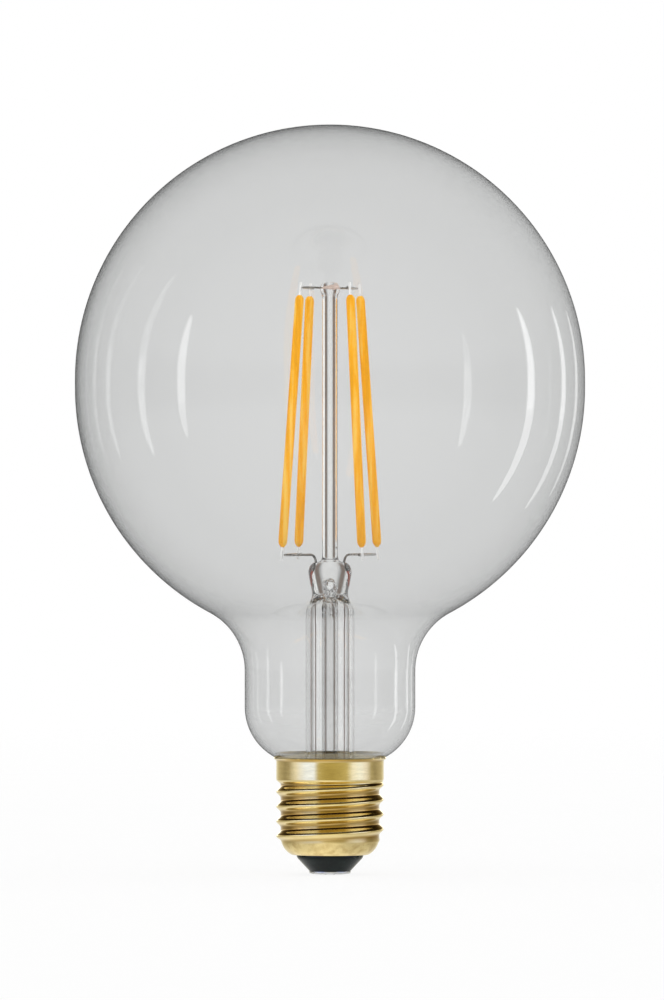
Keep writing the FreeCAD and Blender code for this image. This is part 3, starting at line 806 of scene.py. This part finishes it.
class BULB_OT_shell(Operator):
    """Roll the brass screw shell with its thread, collar and flared lip"""

    bl_idname = "bulb.shell"
    bl_label = "Screw Shell"

    def ease(self, value):
        value = min(max(value, 0.0), 1.0)
        return value * value * (3 - 2 * value)

    def push(self, cap, point):
        """How far the sheet stands out of its plain form at a point."""
        depth = (cap.crest - cap.root) / 2
        foot_top = cap.bottom + cap.foot_height
        collar_z = cap.rim - cap.lip - cap.collar
        turn = math.atan2(point.y, point.x)
        phase = 2 * math.pi * (point.z - cap.crest_height) / cap.pitch - turn + math.pi
        wave = (0.5 + 0.5 * math.cos(phase)) ** cap.sharpness
        top = self.ease((collar_z - point.z) / cap.fade)
        bottom = self.ease((point.z - foot_top + cap.fade) / cap.fade)
        lip = self.ease((point.z - cap.rim + cap.lip) / (2 * cap.lip)) * 2 * cap.flare
        return depth * (1 - (1 - wave) * top) * bottom + lip

    def execute(self, context):
        cap = context.scene.bulb_cap
        root = cap.root / 2
        foot_centre = (root - cap.foot_radius, cap.bottom + cap.foot_height)
        mouth = math.degrees(math.asin(cap.foot_height / cap.foot_radius))
        mouth_r = foot_centre[0] + cap.foot_radius * math.cos(math.radians(mouth))
        side = Profile("brass_shell", mouth_r, cap.bottom)
        side.arc(foot_centre, mouth, 30)
        side.line(root, cap.rim, 150)
        piece = side.turn(cap.segments)

        reach = (cap.crest - cap.root) / 2 + cap.flare
        thread = piece.vertex_groups.new(name="thread")
        for vertex in piece.data.vertices:
            thread.add([vertex.index], self.push(cap, vertex.co) / reach, "REPLACE")
        make_active(piece)
        rolled = piece.modifiers.new("Thread", "DISPLACE")
        rolled.vertex_group = thread.name
        rolled.strength = reach
        rolled.mid_level = 0.0
        bpy.ops.object.modifier_apply(modifier=rolled.name)
        thicken(piece, cap.wall)
        smooth(piece, 70)
        settle(piece, rolled_brass(cap, context.scene.bulb_finishes), "cap_brass", "screw_shell")
        return {"FINISHED"}


class BULB_OT_tip(Operator):
    """Turn the insulator and the tip contact"""

    bl_idname = "bulb.tip"
    bl_label = "Insulator and Contact"

    def execute(self, context):
        cap = context.scene.bulb_cap
        finishes = context.scene.bulb_finishes
        foot = cap.contact / 2
        wide = cap.insulator / 2
        thick = cap.contact_thickness
        neck = 1.3 * MM
        seat = 9.1 * MM
        hook = 9.3 * MM

        cone = Profile("black_insulator", neck, thick)
        cone.line(foot - 0.3 * MM, thick)
        cone.arc((foot - 0.3 * MM, thick + 0.4 * MM), 55, 5)
        cone.line(wide - 0.3 * MM, cap.bottom - 0.95 * MM, 6)
        cone.line(wide - 0.08 * MM, cap.bottom - 0.6 * MM)
        cone.line(wide, cap.bottom - 0.25 * MM)
        cone.line(wide, cap.bottom - 0.05 * MM)
        cone.line(seat, cap.bottom - 0.05 * MM)
        cone.line(seat, cap.bottom + 0.6 * MM)
        cone.line(hook, cap.bottom + 0.85 * MM)
        cone.line(hook, cap.bottom + 1.5 * MM)
        cone.line(neck, cap.bottom + 1.5 * MM)
        cone.line(neck, thick)
        piece = cone.turn(cap.segments)
        smooth(piece, 35)
        settle(piece, glossy_black(finishes), "insulator_black", "insulator")

        disc = Profile("solder_contact", 0.0, 0.0)
        disc.line(1.6 * MM, 0.02 * MM, 3)
        disc.line(3.6 * MM, 0.1 * MM, 3)
        disc.line(foot - 0.55 * MM, 0.2 * MM, 2)
        disc.line(foot - 0.15 * MM, 0.34 * MM)
        disc.line(foot, 0.55 * MM)
        disc.line(foot, thick)
        disc.line(neck, thick)
        disc.line(neck, contact_high.z)
        disc.line(0.0, contact_high.z)
        piece = disc.turn(96)
        smooth(piece, 40)
        tinned = speckled(
            "tinned_metal", darker(finishes.silver, 0.75), finishes.silver, 700.0, (0.22, 0.42), 0.4, 0.00002)
        settle(piece, tinned.material, "contact_metal", "tip_contact")
        return {"FINISHED"}


class BULB_OT_metal(Operator):
    """Finish the leads, tabs and bridge wire"""

    bl_idname = "bulb.metal"
    bl_label = "Wires and Tabs"

    def execute(self, context):
        finishes = context.scene.bulb_finishes

        def wire(name, values, low, roughness, metallic):
            return speckled(name, darker(values, low), values, 900.0, roughness, metallic).material

        steel = wire("nickel_wire", finishes.steel, 0.7, (0.22, 0.4), 1.0)
        copper = wire("copper_wire", finishes.copper, 0.75, (0.35, 0.55), 0.3)
        dull = wire("dull_copper", finishes.outer_lead, 0.8, (0.4, 0.55), 0.6)
        strip = speckled("plated_strip", darker(finishes.silver, 0.9), finishes.silver, 1200.0, (0.3, 0.5))
        # Painted glow: the tabs give off a little light of their own, so they read whiter
        strip.set(Emission_Color=rgba(finishes.silver), Emission_Strength=0.2)
        dress("bridge_wire", bonded_wire(finishes, context.scene.bulb_stem.button / 2))
        for side in SIDES:
            dress("inner_lead_%s" % side, steel)
            dress("seal_wire_%s" % side, copper)
            dress("outer_lead_%s" % side, dull)
            for place in PLACES:
                dress("low_tab_%s_%s" % (place, side), strip.material)
                dress("high_tab_%s_%s" % (place, side), strip.material)
        return {"FINISHED"}


class BULB_OT_driver(Operator):
    """Finish the cement and the driver inside the cap"""

    bl_idname = "bulb.driver"
    bl_label = "Cement and Driver"

    def execute(self, context):
        cement = speckled(
            "pale_cement", (0.74, 0.71, 0.64), (0.86, 0.84, 0.78), 900.0, (0.8, 0.95), depth=0.0001)
        # Painted glow: the cement gives off a little light of its own colour
        cement.set(Emission_Color=(0.8, 0.76, 0.66, 1.0), Emission_Strength=0.32)
        dress("cap_cement", cement.material)
        for name, first, second, scale, roughness, nodes in (
                ("green_board", (0.02, 0.14, 0.05), (0.04, 0.22, 0.09), 600.0, (0.3, 0.5), ["driver_board"]),
                ("moulded_black", (0.012, 0.012, 0.013), (0.03, 0.03, 0.03), 2500.0, (0.45, 0.65),
                 ["bridge_rectifier", "driver_chip"]),
                ("blue_sleeve", (0.02, 0.03, 0.10), (0.04, 0.06, 0.16), 300.0, (0.25, 0.4),
                 ["smoothing_capacitor"]),
                ("tan_body", (0.42, 0.30, 0.17), (0.55, 0.42, 0.26), 500.0, (0.35, 0.5), ["fuse_resistor"]),
                ("red_insulation", (0.32, 0.02, 0.02), (0.45, 0.04, 0.03), 500.0, (0.35, 0.5),
                 ["live_wire", "neutral_wire"])):
            material = speckled(name, first, second, scale, roughness).material
            for node in nodes:
                dress(node, material)
        return {"FINISHED"}


class BULB_OT_stage(Operator):
    """Lay the floor, set the lights and place the camera"""

    bl_idname = "bulb.stage"
    bl_label = "Stage"

    def either(self, finish, factor, first, second):
        node = finish.add("ShaderNodeMixShader")
        finish.link(factor, node.inputs["Fac"])
        finish.link(first, node.inputs[1])
        finish.link(second, node.inputs[2])
        return node.outputs["Shader"]

    def floor(self):
        """A pale floor that keeps the shadow, is lifted to white where it is seen, and fades out far away."""
        pick_nothing()
        bpy.ops.mesh.primitive_plane_add(size=6.0, location=(0, 0, 0))
        floor = bpy.context.object
        floor.name = "pale_floor"
        finish = Finish("pale_floor")
        finish.set(Roughness=0.9, Specular_IOR_Level=0.0)
        pale = finish.blend(finish.noise(60.0, 3.0), ((0.3, 0.90), (0.7, 0.93)))
        finish.link(pale, finish.shader.inputs["Base Color"])
        path = finish.add("ShaderNodeLightPath").outputs
        white = finish.add("ShaderNodeEmission")
        white.inputs["Strength"].default_value = 1.09
        open_air = finish.add("ShaderNodeBsdfTransparent")
        seen = finish.math("MAXIMUM", path["Is Camera Ray"], path["Is Transmission Ray"])
        lift = finish.math("MULTIPLY", seen, 0.8)
        lifted = self.either(finish, lift, finish.shader.outputs["BSDF"], white.outputs["Emission"])
        bent = finish.math("GREATER_THAN", path["Transmission Depth"], GLOBE_DEPTH)
        far = finish.spread(finish.radius(), 0.0, 1.0, 0.5, 1.5)
        faded = self.either(finish, finish.math("MAXIMUM", far, bent), lifted, open_air.outputs["BSDF"])
        finish.link(faded, finish.output.inputs["Surface"])
        floor.data.materials.append(finish.material)
        floor.visible_glossy = False

    def on_metal(self, sky, x, y, z):
        """What metal mirrors: pale panels at both sides, a dim front, dark above and a pale ground."""
        behind = ((0.0, (1.0, 1.0, 0.9)), (0.1, (0.6, 0.57, 0.46)), (0.3, (0.38, 0.36, 0.3)))
        dull = (0.62, 0.58, 0.36)
        front = (1.0, (0.5, 0.44, 0.21))
        left = sky.ramp(y, 1.0, -1.0, behind + (
            (0.42, (0.46, 0.44, 0.38)), (0.6, (0.95, 1.0, 1.3)), (0.8, (1.05, 1.3, 2.5)),
            (0.91, (1.05, 1.3, 2.5)), (0.95, dull), front))
        right = sky.ramp(y, 1.0, -1.0, behind + (
            (0.42, (0.5, 0.48, 0.4)), (0.56, (1.0, 1.08, 1.6)), (0.69, (1.1, 1.3, 2.1)),
            (0.82, (1.05, 1.15, 1.6)), (0.9, dull), front))
        around = sky.mix(sky.spread(x, 0.0, 1.0, -0.2, 0.2), left, right)
        upward = sky.ramp(z, -1.0, 1.0, (
            (0.0, 1.0), (0.4, 0.95), (0.51, 1.0), (0.55, 3.0), (0.58, 0.6), (0.65, (0.2, 0.14, 0.06)),
            (0.74, (0.04, 0.025, 0.008)), (1.0, (0.03, 0.018, 0.005))))
        below = sky.ramp(z, -1.0, 1.0, ((0.225, 1.0), (0.4, 0.0)))
        ground = sky.ramp(x, -1.0, 1.0, ((0.1, 0.8), (0.4, 1.12), (0.58, 1.0), (0.8, 0.72)))
        return sky.mix(below, sky.mix(1.0, around, upward, "MULTIPLY"), ground)

    def on_glass(self, sky, x, y):
        """What the glass mirrors: a dim room, a little brighter behind on the right."""
        left = sky.ramp(y, 1.0, -1.0, ((0.0, 0.05), (0.12, 0.1), (0.35, 0.22), (0.7, 0.18)))
        right = sky.ramp(y, 1.0, -1.0, ((0.0, 0.3), (0.12, 0.32), (0.35, 0.26), (0.7, 0.18)))
        return sky.mix(sky.spread(x, 0.0, 1.0, 0.05, 0.3), left, right)

    def through_glass(self, sky, path, x, y, z):
        """What shows through glass: white, upright panels in the stem, and light for the pieces inside."""
        waves = sky.math("COSINE", sky.math("MULTIPLY", sky.math("ARCTAN2", x, y), 8.0))
        panels = sky.ramp(waves, -1.0, 1.0, (
            (0.0, (0.28, 0.20, 0.16)), (0.08, (0.30, 0.23, 0.19)), (0.26, 0.65), (0.45, 1.0), (0.7, 1.3)))
        steep = sky.spread(sky.math("ABSOLUTE", z), 0.0, 1.0, 0.3, 0.7)
        panels = sky.mix(steep, panels, rgba(1.2))
        twice_mirrored = sky.ramp(y, -1.0, 1.0, ((0.5, 0.3), (0.7, 0.75), (0.9, 0.95)))
        inside = sky.ramp(y, -1.0, 1.0, ((0.0, 2.7), (0.5, 1.2), (1.0, 2.7)))
        shown = rgba(1.0)
        for count, most, light in (
                ("Transmission Depth", GLOBE_DEPTH, panels), ("Glossy Depth", 0.5, twice_mirrored),
                ("Diffuse Depth", 0.5, inside)):
            shown = sky.mix(sky.math("GREATER_THAN", path[count], most), shown, light)
        return shown

    def room(self, scene, level):
        """A room that is white to the camera, even to matt surfaces, and shaped for metal and glass."""
        world = bpy.data.worlds.new("white_room")
        scene.world = world
        world.use_nodes = True
        sky = Nodes(world.node_tree)
        x, y, z = sky.axes(sky.add("ShaderNodeTexCoord").outputs["Generated"])
        path = sky.add("ShaderNodeLightPath").outputs
        mirrored = sky.mix(path["Is Singular Ray"], self.on_metal(sky, x, y, z), self.on_glass(sky, x, y))
        shown = sky.mix(path["Is Glossy Ray"], rgba(level), mirrored)
        shown = sky.mix(path["Is Transmission Ray"], shown, self.through_glass(sky, path, x, y, z))
        shown = sky.mix(path["Is Camera Ray"], shown, rgba(1.0))
        glow = sky.tree.nodes["Background"]
        glow.inputs["Strength"].default_value = 1.0
        sky.link(shown, glow.inputs["Color"])

    def strip(self, receivers, name, turn, low, high, width, radiance, distance=1.2):
        """An upright strip lamp that faces the globe, at a turn from the camera's side."""
        angle = math.radians(turn)
        light = bpy.data.lights.new(name, "AREA")
        light.shape = "ELLIPSE"
        light.size = width
        light.size_y = high - low
        light.energy = radiance * math.pi * math.pi / 4 * width * (high - low)
        lamp = bpy.data.objects.new(name, light)
        bpy.context.scene.collection.objects.link(lamp)
        lamp.location = (distance * math.sin(angle), -distance * math.cos(angle), (low + high) / 2)
        facing = Vector((-lamp.location.x, -lamp.location.y, 0.0))
        lamp.rotation_mode = "QUATERNION"
        lamp.rotation_quaternion = facing.to_track_quat("-Z", "Y")
        lamp.light_linking.receiver_collection = receivers

    def camera(self, scene, stage):
        lens = bpy.data.cameras.new("photo_camera")
        lens.sensor_width = 36.0
        lens.lens = stage.lens
        lens.clip_start = 0.05
        camera = bpy.data.objects.new("photo_camera", lens)
        scene.collection.objects.link(camera)
        camera.location = (stage.offset, -stage.distance, stage.height)
        camera.rotation_euler = (math.pi / 2, 0, 0)
        scene.camera = camera

    def execute(self, context):
        scene = context.scene
        scene.view_settings.view_transform = "Standard"
        self.floor()
        self.room(scene, scene.bulb_stage.room)
        # The brass is left out of the strips' light, which would draw thin lines on the cap
        receivers = bpy.data.collections.new("strip_receivers")
        receivers.objects.link(bpy.data.objects["brass_shell"])
        receivers.collection_objects[0].light_linking.link_state = "EXCLUDE"
        self.strip(receivers, "right_strip", 101.0, -0.70, 0.58, 0.11, 2.7)
        self.strip(receivers, "right_edge", 129.0, -0.45, 0.44, 0.10, 1.4)
        self.strip(receivers, "right_rim", 146.0, -0.20, 0.33, 0.09, 0.7)
        self.strip(receivers, "left_strip", -69.0, -0.28, 0.64, 0.09, 2.4)
        self.camera(scene, scene.bulb_stage)
        return {"FINISHED"}


PIECES = (
    BULB_OT_envelope, BULB_OT_stem, BULB_OT_filaments, BULB_OT_shell, BULB_OT_tip, BULB_OT_metal,
    BULB_OT_driver, BULB_OT_stage)
GROUPS = (
    ("bulb_glass", BulbGlassSizes), ("bulb_stem", BulbStemSizes), ("bulb_cap", BulbCapSizes),
    ("bulb_filaments", BulbFilamentSizes), ("bulb_finishes", BulbFinishes), ("bulb_stage", BulbStage))


class BULB_PT_sidebar(Panel):
    """Lists the pieces of the bulb with their sizes and colours"""

    bl_idname = "BULB_PT_sidebar"
    bl_label = "Globe Bulb"
    bl_space_type = "VIEW_3D"
    bl_region_type = "UI"
    bl_category = "Bulb"

    def draw(self, context):
        layout = self.layout
        for piece in PIECES:
            layout.operator(piece.bl_idname)
        for name, group in GROUPS:
            box = layout.box()
            box.label(text=group.__doc__)
            for key in group.__annotations__:
                box.prop(getattr(context.scene, name), key)


CLASSES = tuple(group for _, group in GROUPS) + PIECES + (BULB_PT_sidebar,)


def register():
    for cls in CLASSES:
        bpy.utils.register_class(cls)
    for name, group in GROUPS:
        setattr(bpy.types.Scene, name, PointerProperty(type=group))


def unregister():
    for name, _ in GROUPS:
        delattr(bpy.types.Scene, name)
    for cls in reversed(CLASSES):
        bpy.utils.unregister_class(cls)


def main():
    register()
    bpy.ops.bulb.envelope()
    bpy.ops.bulb.stem()
    bpy.ops.bulb.filaments()
    bpy.ops.bulb.shell()
    bpy.ops.bulb.tip()
    bpy.ops.bulb.metal()
    bpy.ops.bulb.driver()
    bpy.ops.bulb.stage()


if __name__ == "__main__":
    main()
